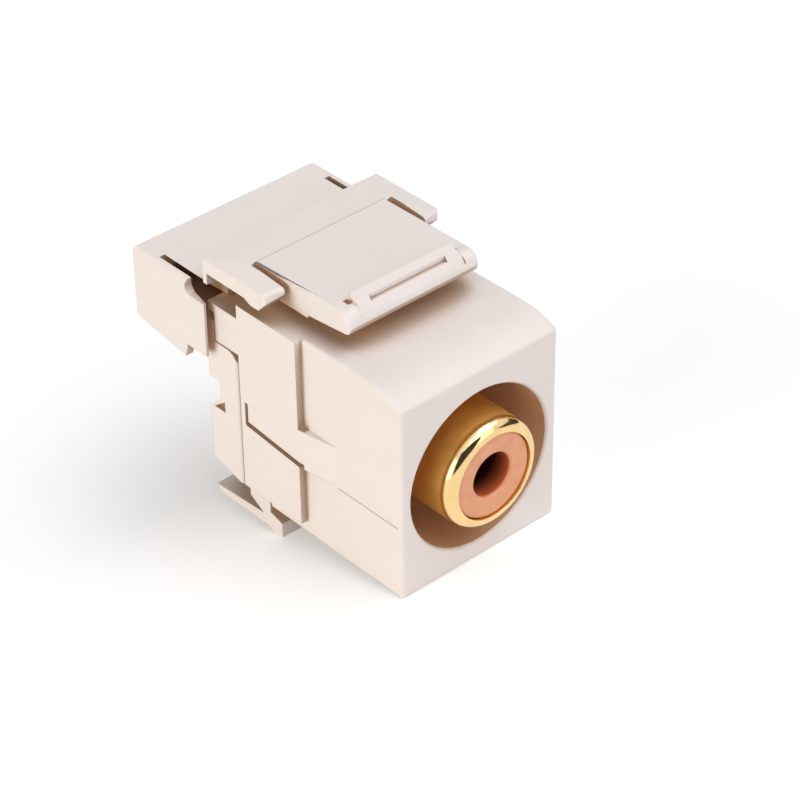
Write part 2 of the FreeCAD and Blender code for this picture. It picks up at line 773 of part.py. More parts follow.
    # Tab that reaches forward over the housing
    tab = new_sketch(body, "tab_outline", SIDE)
    tab_top = f"{TOP} + tab_rise"
    skirt_foot = f"{TOP} + skirt_gap"
    draw(
        tab,
        [
            ("tab_front + tab_nose_radius / 4", f"{TOP} + tab_lip_gap"),
            ("skirt_step_setback", f"{skirt_foot} + skirt_step"),
            ("skirt_step_setback", skirt_foot),
            (CREASE, skirt_foot),
            (CREASE, f"{TOP} + crease_rise"),
            ("tab_front + tab_nose_radius", tab_top, "tab_nose_radius"),
            ("tab_front", f"{tab_top} - tab_nose_radius"),
        ],
    )
    pad(body, "tab", tab, "tab_rear_width", both=True)
    taper = new_sketch(body, "tab_taper", PLAN, f"{TOP} + ridge_rise")
    draw_both_sides(
        taper,
        [
            ("tab_rear_width / 2", CREASE),
            ("tab_front_width / 2", "tab_front - tab_nose_radius"),
            ("tab_rear_width / 2", "tab_front - tab_nose_radius"),
        ],
    )
    pocket(body, "tab_sides", taper, "ridge_rise")
    tab_side = number("tab_front_width / 2") - NEAR
    slot_side = number("tab_rear_width / 2") + NEAR
    tab_edge_floor = number(f"{tab_top} - tab_nose_radius")

    def on_tab_edge(edge):
        place = edge.CenterOfMass
        on_side = tab_side < abs(place.x) < slot_side
        return on_side and place.z > tab_edge_floor and edge.BoundBox.YMin < number(EAR_FRONT)

    round_edges(body, "tab_edges", "tab_edge_radius", on_tab_edge)

    # Hollow under the tab, between its side skirts
    hollow_half = "(tab_front_width / 2 - skirt_wall)"
    hollow = new_sketch(body, "tab_hollow_plan", PLAN, f"{tab_top} - tab_skin")
    draw_box(
        hollow,
        f"-{hollow_half}",
        hollow_half,
        "ridge_rear + skirt_wall",
        f"{CREASE} - skirt_wall",
    )
    pocket(body, "tab_hollow", hollow, "tab_rise - tab_skin")

    # Ridge across the tab's front, with sloping ends and a grooved front slope
    crest = f"{TOP} + ridge_rise"
    ridge = new_sketch(body, "ridge_section", FRONT, "-ridge_rear")
    draw(
        ridge,
        [
            ("-ridge_foot_width / 2", f"{TOP} + ridge_foot_rise"),
            ("ridge_foot_width / 2", f"{TOP} + ridge_foot_rise"),
            ("ridge_crest_width / 2", crest),
            ("-ridge_crest_width / 2", crest),
        ],
    )
    pad(body, "ridge", ridge, "ridge_rear - tab_front")
    slope = new_sketch(body, "ridge_slope_outline", SIDE)
    draw(
        slope,
        [
            ("tab_front - tab_nose_radius", f"{TOP} + ridge_foot_rise"),
            ("ridge_front", f"{TOP} + ridge_foot_rise"),
            ("ridge_crest_setback", crest),
            ("ridge_crest_setback", f"{crest} + tab_nose_radius"),
            ("tab_front - tab_nose_radius", f"{crest} + tab_nose_radius"),
        ],
    )
    pocket(body, "ridge_slope", slope, "ridge_foot_width", both=True)
    groove = new_sketch(body, "groove_outline", SIDE)
    slope_middle = "(ridge_front + ridge_crest_setback) / 2"
    groove_middle = f"{TOP} + (ridge_foot_rise + ridge_rise) / 2"
    draw_box(
        groove,
        f"{slope_middle} - tab_nose_radius",
        f"{slope_middle} + groove_depth",
        f"{groove_middle} - groove_height / 2",
        f"{groove_middle} + groove_height / 2",
    )
    pocket(body, "ridge_groove", groove, "groove_width", both=True)

    # Notch in the tab at each end of the ridge
    notch_inner = "ridge_foot_width / 2 - end_notch_overlap"
    notches = new_sketch(body, "end_notch_plan", PLAN, crest)
    draw_both_sides(
        notches,
        [
            (notch_inner, "ridge_crest_setback"),
            (f"{notch_inner} + end_notch_width", "ridge_crest_setback"),
            (f"{notch_inner} + end_notch_width", "ridge_crest_setback + end_notch_length"),
            (notch_inner, "ridge_crest_setback + end_notch_length"),
        ],
    )
    pocket(body, "end_notches", notches, "ridge_rise - tab_rise + end_notch_depth")

    # Fine groove just behind the crease
    groove_offset = "(2 * crease_groove)"
    plate_fall = f"{groove_offset} * (crease_rise - latch_rise) / crease_reach"
    plate_level = f"{TOP} + crease_rise - {plate_fall}"
    crease = new_sketch(body, "crease_groove_outline", SIDE)
    draw(
        crease,
        [
            (f"{CREASE} + {groove_offset} - crease_groove", f"{plate_level} + crease_groove / 2"),
            (f"{CREASE} + {groove_offset}", f"{plate_level} - crease_groove / 2"),
            (f"{CREASE} + {groove_offset} + crease_groove", f"{plate_level} + crease_groove / 2"),
        ],
    )
    pocket(body, "crease_line", crease, "tab_rear_width", both=True)
    return body


def terminal_block():
    """Rear moulding: flange behind the housing, rim that clamps the board, strip with wire slots."""
    body = new_body("terminal_block", BENCH_HEIGHT)
    block_half = f"({CAP_INNER_HALF} - fit_clearance)"
    rim_half = f"({BAY_HALF} - fit_clearance)"
    flange_top = f"{TOP} - flange_top_drop"

    # Flange seen from the side, with its stepped rear edge
    side = new_sketch(body, "flange_outline", SIDE)
    draw(
        side,
        [
            (FLANGE_FRONT, "flange_base"),
            (FLANGE_REAR, "flange_heel_height"),
            (FLANGE_REAR, "flange_ramp_height"),
            (NOTCH_FLOOR, "flange_notch_height"),
            (NOTCH_FLOOR, "flange_shoulder_height"),
            (FLANGE_REAR, "flange_shoulder_height"),
            (FLANGE_REAR, flange_top),
            (f"{FLANGE_FRONT} + flange_corner", flange_top, "flange_corner"),
            (FLANGE_FRONT, f"{flange_top} - flange_corner"),
        ],
    )
    pad(body, "flange", side, f"2 * {block_half}", both=True)
    seam = new_sketch(body, "seam_plan", PLAN, flange_top)
    draw_both_sides(
        seam,
        [
            (f"{block_half} - seam_radius", FLANGE_FRONT),
            (block_half, FLANGE_FRONT),
            (block_half, f"{FLANGE_FRONT} + seam_radius"),
        ],
    )
    pocket(body, "front_seams", seam, flange_top)

    # Three-cornered recess under the notch, on both sides
    for sign in ("-", ""):
        dent = new_sketch(body, "dent_outline", SIDE, f"{sign}{block_half}")
        dent_front = f"{NOTCH_FLOOR} - dent_depth"
        draw(
            dent,
            [
                (dent_front, "flange_ramp_height + dent_inset"),
                (f"{FLANGE_REAR} - dent_depth", "flange_ramp_height + dent_inset"),
                (dent_front, "flange_notch_height - dent_inset"),
            ],
        )
        pocket(body, "dent", dent, "dent_depth", reverse=bool(sign))

    # Rim that reaches into the housing and holds the board on its ledge
    rim_front = f"({BOARD_REAR} + seat_clearance)"
    rim = new_sketch(body, "rim_outline", FRONT, f"-{NOTCH_FLOOR}")
    draw_box(rim, f"-{rim_half}", rim_half, "base_wall + fit_clearance", STRAP_LEVEL)
    pad(body, "rim", rim, f"{NOTCH_FLOOR} - {rim_front}")

    # Strip that carries the wire slots under the cap
    strip = new_sketch(body, "strip_outline", SIDE)
    draw_box(strip, NOTCH_FLOOR, STRIP_REAR, f"{STRAP_LEVEL} - strip_height", STRAP_LEVEL)
    pad(body, "neck", strip, f"2 * {rim_half}", both=True)
    wide = new_sketch(body, "wide_strip_outline", SIDE)
    draw_box(
        wide,
        f"{CAP_FRONT} + seat_clearance",
        STRIP_REAR,
        f"{STRAP_LEVEL} - strip_height",
        STRAP_LEVEL,
    )
    pad(body, "wire_strip", wide, f"2 * {block_half}", both=True)

    # Room for the board's solder tails
    room = new_sketch(body, "tail_room_outline", FRONT, f"-{rim_front}")
    draw_box(
        room,
        f"-({rim_half} - rim_wall)",
        f"{rim_half} - rim_wall",
        "base_wall + fit_clearance + rim_wall",
        f"{STRAP_LEVEL} - rim_bar",
    )
    pocket(body, "tail_room", room, f"{NOTCH_FLOOR} - rim_wall - {rim_front}")

    # Row of wire slots, flared at the mouth
    slot_row = "(wire_slot_count - 1) * wire_pitch"
    first_slot = f"-{slot_row} / 2"
    mouth = f"{STRAP_LEVEL} - strip_height"
    slot = new_sketch(body, "wire_slot_outline", FRONT, f"-{FLANGE_REAR}")
    draw(
        slot,
        [
            (f"{first_slot} - wire_mouth_width / 2", mouth),
            (f"{first_slot} + wire_mouth_width / 2", mouth),
            (f"{first_slot} + wire_slot_width / 2", f"{mouth} + wire_mouth_height"),
            (f"{first_slot} + wire_slot_width / 2", f"{mouth} + wire_slot_height"),
            (f"{first_slot} - wire_slot_width / 2", f"{mouth} + wire_slot_height"),
            (f"{first_slot} - wire_slot_width / 2", f"{mouth} + wire_mouth_height"),
        ],
    )
    first = pocket(body, "wire_slot", slot, f"{STRIP_REAR} - {FLANGE_REAR}")
    before = body.Shape.Volume
    row = body.newObject("PartDesign::LinearPattern", "wire_slots")
    row.Originals = [first]
    row.Direction = (slot, ["H_Axis"])
    row.setExpression("Length", formula(slot_row))
    row.setExpression("Occurrences", formula("wire_slot_count"))
    body.Tip = row
    doc.recompute()
    if body.Shape.Volume >= before:
        raise RuntimeError("terminal_block: the row of wire slots cut nothing")

    # Cross slots that hold the two forked contacts
    cross = new_sketch(body, "fork_slot_outline", PLAN, STRAP_LEVEL)
    fork_half = "contact_fork_width / 2 + seat_clearance"
    draw_both_sides(
        cross,
        [
            (f"wire_pitch / 2 - ({fork_half})", f"{CONTACT_FRONT} - seat_clearance"),
            (f"wire_pitch / 2 + {fork_half}", f"{CONTACT_FRONT} - seat_clearance"),
            (f"wire_pitch / 2 + {fork_half}", f"{CONTACT_FRONT} + contact_gauge + seat_clearance"),
            (f"wire_pitch / 2 - ({fork_half})", f"{CONTACT_FRONT} + contact_gauge + seat_clearance"),
        ],
    )
    pocket(body, "fork_slots", cross, "strip_height")
    return body


def circuit_board():
    """Board between the housing's ledge and the terminal block's rim, with holes for the tails."""
    body = new_body("circuit_board", BENCH_HEIGHT)
    half = f"({BAY_HALF} - fit_clearance)"
    face = new_sketch(body, "board_outline", FRONT, f"-{BOARD_FRONT}")
    draw_box(face, f"-{half}", half, "base_wall + fit_clearance", f"{TOP} - top_wall - fit_clearance")
    draw_circle(face, "axis_height", "contact_pin_diameter + 2 * seat_clearance")
    tail_top = f"axis_height + {LUG_TOP}"
    lug_half = "(lug_tail_width / 2 + seat_clearance)"
    draw_box(
        face,
        f"-{lug_half}",
        lug_half,
        f"{tail_top} - lug_thickness - seat_clearance",
        f"{tail_top} + seat_clearance",
    )
    tail_half = "(contact_tail_width / 2 + seat_clearance)"
    draw_both_sides(
        face,
        [
            (f"wire_pitch / 2 - {tail_half}", f"{STRAP_LEVEL} - seat_clearance"),
            (f"wire_pitch / 2 + {tail_half}", f"{STRAP_LEVEL} - seat_clearance"),
            (f"wire_pitch / 2 + {tail_half}", f"{STRAP_LEVEL} + contact_gauge + seat_clearance"),
            (f"wire_pitch / 2 - {tail_half}", f"{STRAP_LEVEL} + contact_gauge + seat_clearance"),
        ],
    )
    pad(body, "board", face, "board_thickness", reverse=True)
    return body


def idc_contact(name, side):
    """Flat strap from the board to the strip, ending in a fork that grips the wire."""
    body = new_body(name, BENCH_HEIGHT)
    body.setExpression("Placement.Base.x", formula(f"{side} * wire_pitch / 2"))
    tail_half = "contact_tail_width / 2"
    strap_half = "contact_strap_width / 2"
    strap_front = f"{BOARD_REAR} + contact_gauge"
    strap_end = f"{CONTACT_FRONT} + contact_gauge"
    strap = new_sketch(body, "strap_outline", PLAN, STRAP_LEVEL)
    draw(
        strap,
        [
            (f"-{tail_half}", f"{BOARD_FRONT} - contact_tail_proud"),
            (tail_half, f"{BOARD_FRONT} - contact_tail_proud"),
            (tail_half, strap_front),
            (strap_half, strap_front),
            (strap_half, strap_end),
            (f"-{strap_half}", strap_end),
            (f"-{strap_half}", strap_front),
            (f"-{tail_half}", strap_front),
        ],
    )
    pad(body, "strap", strap, "contact_gauge")

    fork_half = "contact_fork_width / 2"
    fork_top = f"{STRAP_LEVEL} + contact_gauge"
    fork_foot = f"{STRAP_LEVEL} - contact_fork_height"
    gap_half = "contact_gap / 2"
    fork = new_sketch(body, "fork_outline", FRONT, f"-{CONTACT_FRONT}")
    draw(
        fork,
        [
            (f"-{fork_half}", fork_foot),
            ("-contact_gap", fork_foot),
            (f"-{gap_half}", f"{fork_foot} + contact_gap"),
            (f"-{gap_half}", f"{fork_foot} + contact_gap_height"),
            (gap_half, f"{fork_foot} + contact_gap_height"),
            (gap_half, f"{fork_foot} + contact_gap"),
            ("contact_gap", fork_foot),
            (fork_half, fork_foot),
            (fork_half, fork_top),
            (f"-{fork_half}", fork_top),
        ],
    )
    pad(body, "fork", fork, "contact_gauge", reverse=True)
    return body


def jack_shell():
    """Turned barrel with a rounded lip, and a narrower neck for the nut."""
    body = new_body("jack_shell")
    lip_radius = "min(barrel_edge_radius; barrel_wall)"
    side = new_sketch(body, "shell_section", SIDE)
    draw(
        side,
        [
            ("-barrel_proud", f"{BARREL_RADIUS} - {lip_radius}", f"-{lip_radius}"),
            (f"-barrel_proud + {lip_radius}", BARREL_RADIUS),
            ("recess_depth", BARREL_RADIUS),
            ("recess_depth", NECK_RADIUS),
            (NECK_END, NECK_RADIUS),
            (NECK_END, STEM_BORE_RADIUS),
            (INSULATOR_SEAT, STEM_BORE_RADIUS),
            (INSULATOR_SEAT, LIP_BORE_RADIUS),
            ("-barrel_proud", LIP_BORE_RADIUS),
        ],
    )
    revolve(body, "shell", side)
    return body


def jack_insulator():
    """Moulded insulator: a head in the barrel and a stem through the neck."""
    body = new_body("jack_insulator")
    hole = "pin_hole_diameter / 2"
    side = new_sketch(body, "insulator_section", SIDE)
    draw(
        side,
        [
            ("-insulator_proud", f"{hole} + pin_hole_lip"),
            ("-insulator_proud", f"{HEAD_RADIUS} - insulator_edge_radius", "-insulator_edge_radius"),
            ("-insulator_proud + insulator_edge_radius", HEAD_RADIUS),
            (INSULATOR_SEAT, HEAD_RADIUS),
            (INSULATOR_SEAT, STEM_RADIUS),
            (NECK_END, STEM_RADIUS),
            (NECK_END, CHAMBER_RADIUS),
            (PIN_HOLE_END, CHAMBER_RADIUS),
            (PIN_HOLE_END, hole),
            ("-insulator_proud + pin_hole_lip", hole, "-pin_hole_lip"),
        ],
    )
    revolve(body, "insulator", side)
    return body


def centre_contact():
    """Split socket for the plug's pin, with a tail pin for the board."""
    body = new_body("centre_contact")
    front = f"{PIN_HOLE_END} + socket_gap"
    side = new_sketch(body, "contact_section", SIDE)
    draw(
        side,
        [
            (front, "socket_bore / 2"),
            (front, SOCKET_RADIUS),
            (SOCKET_END, SOCKET_RADIUS),
            (SOCKET_END, "contact_pin_diameter / 2"),
            (TAIL_END, "contact_pin_diameter / 2"),
            (TAIL_END, "0"),
            (f"{front} + socket_depth", "0"),
            (f"{front} + socket_depth", "socket_bore / 2"),
        ],
    )
    revolve(body, "socket", side)
    slit_end = f"{front} + socket_slit_length"
    upright = new_sketch(body, "slit_seen_from_above", PLAN)
    draw_box(upright, "-socket_slit_width / 2", "socket_slit_width / 2", front, slit_end)
    pocket(body, "upright_slit", upright, f"4 * {SOCKET_RADIUS}", both=True)
    level = new_sketch(body, "slit_seen_from_side", SIDE)
    draw_box(level, front, slit_end, "-socket_slit_width / 2", "socket_slit_width / 2")
    pocket(body, "level_slit", level, f"4 * {SOCKET_RADIUS}", both=True)
    return body


def ground_lug():
    """Stamped ring terminal with a tail bent back to the board."""
    body = new_body("ground_lug")
    tail_half = "lug_tail_width / 2"
    ring = new_sketch(body, "ring_outline", FRONT, f"-{FLOOR_REAR}")
    draw_circle(ring, "0", f"2 * {LUG_RADIUS}")
    draw_circle(ring, "0", f"2 * ({NECK_RADIUS} + seat_clearance)")
    pad(body, "ring", ring, "lug_thickness", reverse=True)
    arm = new_sketch(body, "arm_outline", FRONT, f"-{FLOOR_REAR}")
    draw_box(arm, f"-{tail_half}", tail_half, f"{LUG_RADIUS} - lug_thickness", LUG_TOP)
    pad(body, "arm", arm, "lug_thickness", reverse=True)
    tail = new_sketch(body, "tail_outline", FRONT, f"-{FLOOR_REAR}")
    draw_box(tail, f"-{tail_half}", tail_half, f"{LUG_TOP} - lug_thickness", LUG_TOP)
    pad(body, "tail", tail, f"{TAIL_END} - {FLOOR_REAR}", reverse=True)
    return body


def lock_washer():
    """Washer with a ring of inner teeth."""
    body = new_body("lock_washer")
    ring = new_sketch(body, "washer_outline", FRONT, f"-{LUG_REAR}")
    inner = f"({NECK_RADIUS} + seat_clearance)"
    draw_circle(ring, "0", f"2 * {WASHER_RADIUS}")
    draw_circle(ring, "0", f"2 * {inner}")
    pad(body, "washer", ring, "washer_thickness", reverse=True)
    gap = new_sketch(body, "tooth_gap_outline", FRONT, f"-{LUG_REAR}")
    draw_box(
        gap,
        "-washer_tooth_width / 2",
        "washer_tooth_width / 2",
        f"{inner} - washer_tooth_depth",
        f"{inner} + washer_tooth_depth",
    )
    first = pocket(body, "tooth_gap", gap, "washer_thickness")
    before = body.Shape.Volume
    teeth = body.newObject("PartDesign::PolarPattern", "tooth_gaps")
    teeth.Originals = [first]
    teeth.Axis = (gap, ["N_Axis"])
    teeth.Angle = 360
    teeth.setExpression("Occurrences", formula("washer_tooth_count"))
    body.Tip = teeth
    doc.recompute()
    if body.Shape.Volume >= before:
        raise RuntimeError("lock_washer: the ring of teeth cut nothing")
    return body


def hex_nut():
    """Hexagon nut on the jack's neck, its corners turned down at the rear."""
    turn = FreeCAD.Rotation(Vector(1, 0, 0), -90)
    prism = doc.addObject("Part::Prism", "nut_prism")
    prism.Polygon = 6
    prism.setExpression("Circumradius", formula(f"2 * {NUT_FLAT_RADIUS} / sqrt(3)"))
    prism.setExpression("Height", formula("nut_thickness"))
    cone = doc.addObject("Part::Cone", "nut_chamfer")
    cone.setExpression("Radius1", formula(f"{NUT_FLAT_RADIUS} + nut_thickness"))
    cone.setExpression("Radius2", formula(NUT_FLAT_RADIUS))
    cone.setExpression("Height", formula("nut_thickness"))
    bore = doc.addObject("Part::Cylinder", "nut_bore")
    bore.setExpression("Radius", formula(f"{NECK_RADIUS} + seat_clearance"))
    bore.setExpression("Height", formula("nut_thickness"))
    for solid in (prism, cone, bore):
        solid.Placement = FreeCAD.Placement(Vector(0, 0, 0), turn)
        solid.setExpression("Placement.Base.y", formula(WASHER_REAR))
    turned = doc.addObject("Part::Common", "nut_blank")
    turned.Base = prism
    turned.Tool = cone
    nut = doc.addObject("Part::Cut", "hex_nut")
    nut.Base = turned
    nut.Tool = bore
    nut.Label = "hex_nut"
    doc.recompute()
    return nut


def export(parts):
    """Check the document, then write each sub-part to its own file."""
    doc.recompute()
    for item in doc.Objects:
        if "Invalid" in item.State or "Error" in item.State:
            raise RuntimeError(f"{item.Label} failed: {item.State}")
    os.makedirs("parts", exist_ok=True)
    for part in parts:
        shape = part.Shape
        if shape.isNull() or not shape.isValid() or len(shape.Solids) != 1:
            raise RuntimeError(f"{part.Label} is not one valid solid")
    for part in parts:
        part.Shape.exportStep(os.path.join("parts", f"{part.Label}.step"))


fill_sheet()
export(
    [
        front_housing(),
        latch_cap(),
        terminal_block(),
        circuit_board(),
        idc_contact("idc_contact_signal", "-1"),
        idc_contact("idc_contact_ground", "1"),
        jack_shell(),
        jack_insulator(),
        centre_contact(),
        ground_lug(),
        lock_washer(),
        hex_nut(),
    ]
)
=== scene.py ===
import json
import math

import bpy
from mathutils import Matrix, Vector


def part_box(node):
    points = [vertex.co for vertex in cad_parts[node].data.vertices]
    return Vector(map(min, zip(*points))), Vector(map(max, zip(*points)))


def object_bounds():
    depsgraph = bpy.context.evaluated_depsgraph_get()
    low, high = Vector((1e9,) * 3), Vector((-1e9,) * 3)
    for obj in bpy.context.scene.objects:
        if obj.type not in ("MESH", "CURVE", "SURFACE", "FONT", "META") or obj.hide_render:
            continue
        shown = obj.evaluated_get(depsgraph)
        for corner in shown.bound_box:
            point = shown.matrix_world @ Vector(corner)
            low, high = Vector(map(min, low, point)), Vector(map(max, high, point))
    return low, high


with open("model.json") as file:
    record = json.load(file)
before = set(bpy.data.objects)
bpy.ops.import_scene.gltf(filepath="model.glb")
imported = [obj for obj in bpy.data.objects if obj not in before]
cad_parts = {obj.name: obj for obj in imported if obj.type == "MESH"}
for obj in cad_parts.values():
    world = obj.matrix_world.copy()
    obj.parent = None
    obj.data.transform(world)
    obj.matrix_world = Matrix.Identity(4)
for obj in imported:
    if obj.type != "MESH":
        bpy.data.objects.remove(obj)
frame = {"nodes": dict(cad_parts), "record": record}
cad_low, cad_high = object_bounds()


def linear(red, green, blue):
    """Turn a display colour, each part from 0 to 255, into a linear one by the sRGB curve."""

    def decode(value):
        share = value / 255
        return share / 12.92 if share <= 0.04045 else ((share + 0.055) / 1.055) ** 2.4

    return (decode(red), decode(green), decode(blue), 1.0)


MM = 0.001

# Camera, as it stood for the photograph
CAMERA_PLACE = Vector((-106.635, -111.971, 118.371)) * MM
CAMERA_FORWARD = Vector((0.53654, 0.60433, -0.58899))
CAMERA_RIGHT = Vector((0.74204, -0.67025, -0.01173))
FOCAL_PIXELS = 2853.25
IMAGE_PIXELS = 800
SENSOR_WIDTH = 36.0
CAMERA_NEAR = 1.0 * MM

# World, white to look at, and as it lights the object
WHITE = (1.0, 1.0, 1.0, 1.0)
WORLD_LEVEL = 0.26
WORLD_COLOUR = (0.97, 0.98, 1.0, 1.0)

# Lamps: name, direction, level, colour and width in metres
# A white surface that faces a lamp gains the lamp's level
LAMP_DISTANCE = 2.0
LAMPS = (
    ("key", Vector((0.06, -0.41, 0.91)), 0.17, (0.98, 0.98, 1.0), 1.4),
    ("side", Vector((0.44, -0.14, 0.89)), 0.38, (0.98, 0.98, 1.0), 1.4),
    ("front", Vector((-0.05, -0.84, 0.54)), 0.45, (0.925, 0.962, 1.0), 3.0),
    ("warm", Vector((-0.97, 0.10, 0.16)), 0.72, (1.0, 0.93, 0.79), 2.0),
)

# Dark cards that show only in reflections: name, direction, width and height in metres
CARD_DISTANCE = 0.5
CARD_COLOUR = (0.01, 0.01, 0.01, 1.0)
CARDS = (
    ("camera_card", Vector((-0.38, -0.84, 0.36)), 0.62, 0.62),
    ("room_card", Vector((0.96, -0.28, 0.13)), 0.60, 0.22),
)

# Floor, which the front edge and the foot of the lower catch rest on
FRONT_EDGE_HEIGHT = -7.75 * MM
CATCH_FOOT_BACK = 13.34 * MM
FLOOR_HALF = 0.25
FLOOR_DIFFUSE = 0.90
FLOOR_GLOW = 0.26
FLOOR_ALBEDO = 0.85

# Corners of a flat square, in order round it
SQUARE = ((-1, -1), (1, -1), (1, 1), (-1, 1))

# Shader nodes: the Mix node's colour sockets, and samples
MIX_INPUTS = (6, 7)
MIX_OUTPUT = 2
EDGE_SAMPLES = 6
HOLLOW_SAMPLES = 8

# Noise: its detail, and the ranges that it is stretched from
COARSE_DETAIL = 1
PLAIN_DETAIL = 2
FINE_DETAIL = 3
FINEST_DETAIL = 4
CLOUD_SPREAD = (0.35, 0.65)
GRAIN_SPREAD = (0.30, 0.70)

# How far a band or a round patch takes to fade out
BAND_FADE = 0.05 * MM
RADIUS_FADE = 0.02 * MM

# Almond plastic: drifting tones, small specks and an eroded grain
ALMOND_TONES = (linear(236, 226, 221), linear(239, 228, 223))
ALMOND_CLOUD = 4.0 * MM
ALMOND_GRAIN = 0.12 * MM
ALMOND_RELIEF = 0.006 * MM
ALMOND_ROUGHNESS = (0.40, 0.54)
SPECK_TONE = linear(236, 224, 217)
SPECK_SIZE = 0.5 * MM
SPECK_SPREAD = (0.62, 0.80)
HOUSING_EDGE = 0.14 * MM
LATCH_EDGE = 0.05 * MM

# Painted warm shade on the plastic, by how closed-in a place is
# Painted shade in concave corners and steps, by their ambient occlusion
CORNER_PAINTED_SHADE = linear(186, 148, 118)
CORNER_REACH = 2.2 * MM
CORNER_SPREAD = (0.25, 0.75)
# Painted shade, darker and browner, in gaps such as the one under the latch tab
GAP_PAINTED_SHADE = linear(176, 149, 124)
GAP_REACH = 4.0 * MM
GAP_SPREAD = (0.28, 0.48)
# Painted warm shade in the deepest slits, lighter than the gap shade, as painted light that stands in for
# light passing through the plastic
SLIT_PAINTED_SHADE_AND_GLOW = linear(228, 188, 156)
SLIT_SPREAD = (0.66, 0.80)

# Recess round the jack, with a painted brown shade that stands in for its shade and for the gold light
# that bounces in it
# Painted shade and painted gold bounce light in the recess
RECESS_PAINTED_SHADE_TONE = linear(209, 173, 145)
RECESS_RADIUS = 6.40 * MM
RECESS_SHADE = 0.4 * MM
RECESS_FLOOR = 8.65 * MM
RECESS_END = 8.75 * MM

# Painted shadow line along the fold groove across the root of the latch, between its two slots
# Painted shadow in the fold groove
CREASE_PAINTED_SHADOW = linear(200, 187, 181)
CREASE_BACK = 16.05 * MM
CREASE_HALF = 0.03 * MM
CREASE_REACH = 5.9 * MM
CREASE_ABOVE = 11.0 * MM

# Parting line and ledge on the housing's sides, where the painted shade is left off, each with its height
# and its run from front to back
SIDE_FACE = 7.05 * MM
PARTING_HEIGHT = -1.75 * MM
PARTING_HALF = 0.10 * MM
PARTING_MIDDLE = 3.5 * MM
PARTING_REACH = 3.3 * MM
LEDGE_HEIGHT = 2.05 * MM
LEDGE_HALF = 0.55 * MM
LEDGE_MIDDLE = 7.9 * MM
LEDGE_REACH = 1.5 * MM

# Gold plate: satin along the barrel, polished from the lip's start to its end
SATIN_TONES = ((0.99, 0.60, 0.16, 1.0), (1.0, 0.65, 0.20, 1.0))
POLISHED_TONES = ((0.86, 0.61, 0.28, 1.0), (0.91, 0.67, 0.33, 1.0))
GOLD_CLOUD = 1.5 * MM
GOLD_ROUGHNESS = (0.46, 0.11)
GOLD_EDGE = 0.06 * MM
SMEAR_SIZE = 0.8 * MM
SMEAR_ROUGHNESS = (-0.03, 0.03)
TURNING_PITCH = 0.15 * MM
TURNING_RELIEF = 0.001 * MM
LIP_START = -0.40 * MM
LIP_BLEND = 0.35 * MM

# Insulator, with painted shade in its hole that is darker the deeper it goes
INSULATOR_TONES = (linear(230, 156, 114), linear(238, 166, 124))
INSULATOR_CLOUD = 1.2 * MM
INSULATOR_GRAIN = 0.1 * MM
INSULATOR_RELIEF = 0.004 * MM
INSULATOR_ROUGHNESS = (0.30, 0.42)
INSULATOR_EDGE = 0.08 * MM
# Painted shade on the hole's wall, then painted deep shade further in
HOLE_WALL_PAINTED_SHADE = linear(214, 108, 62)
HOLE_DEEP_PAINTED_SHADE = linear(50, 18, 8)
HOLE_START = -1.15 * MM
HOLE_EDGE = 0.12 * MM
HOLE_DARK = 0.50 * MM

# Plated metals, with faint lines from rolling
STEEL_TONES = ((0.60, 0.59, 0.56, 1.0), (0.72, 0.71, 0.68, 1.0))
STEEL_ROUGHNESS = (0.22, 0.36)
TIN_TONES = ((0.66, 0.66, 0.65, 1.0), (0.78, 0.78, 0.77, 1.0))
TIN_ROUGHNESS = (0.30, 0.44)
METAL_CLOUD = 1.0 * MM
METAL_EDGE = 0.05 * MM
ROLLING_SIZE = 0.5 * MM
ROLLING_STRETCH = (1, 12, 1)
ROLLING_RELIEF = 0.003 * MM

# Board, with a solder mask over a woven laminate
BOARD_TONES = ((0.012, 0.085, 0.035, 1.0), (0.022, 0.13, 0.055, 1.0))
BOARD_ROUGHNESS = (0.25, 0.38)
WEAVE_SIZE = 0.35 * MM
WEAVE_RELIEF = 0.004 * MM


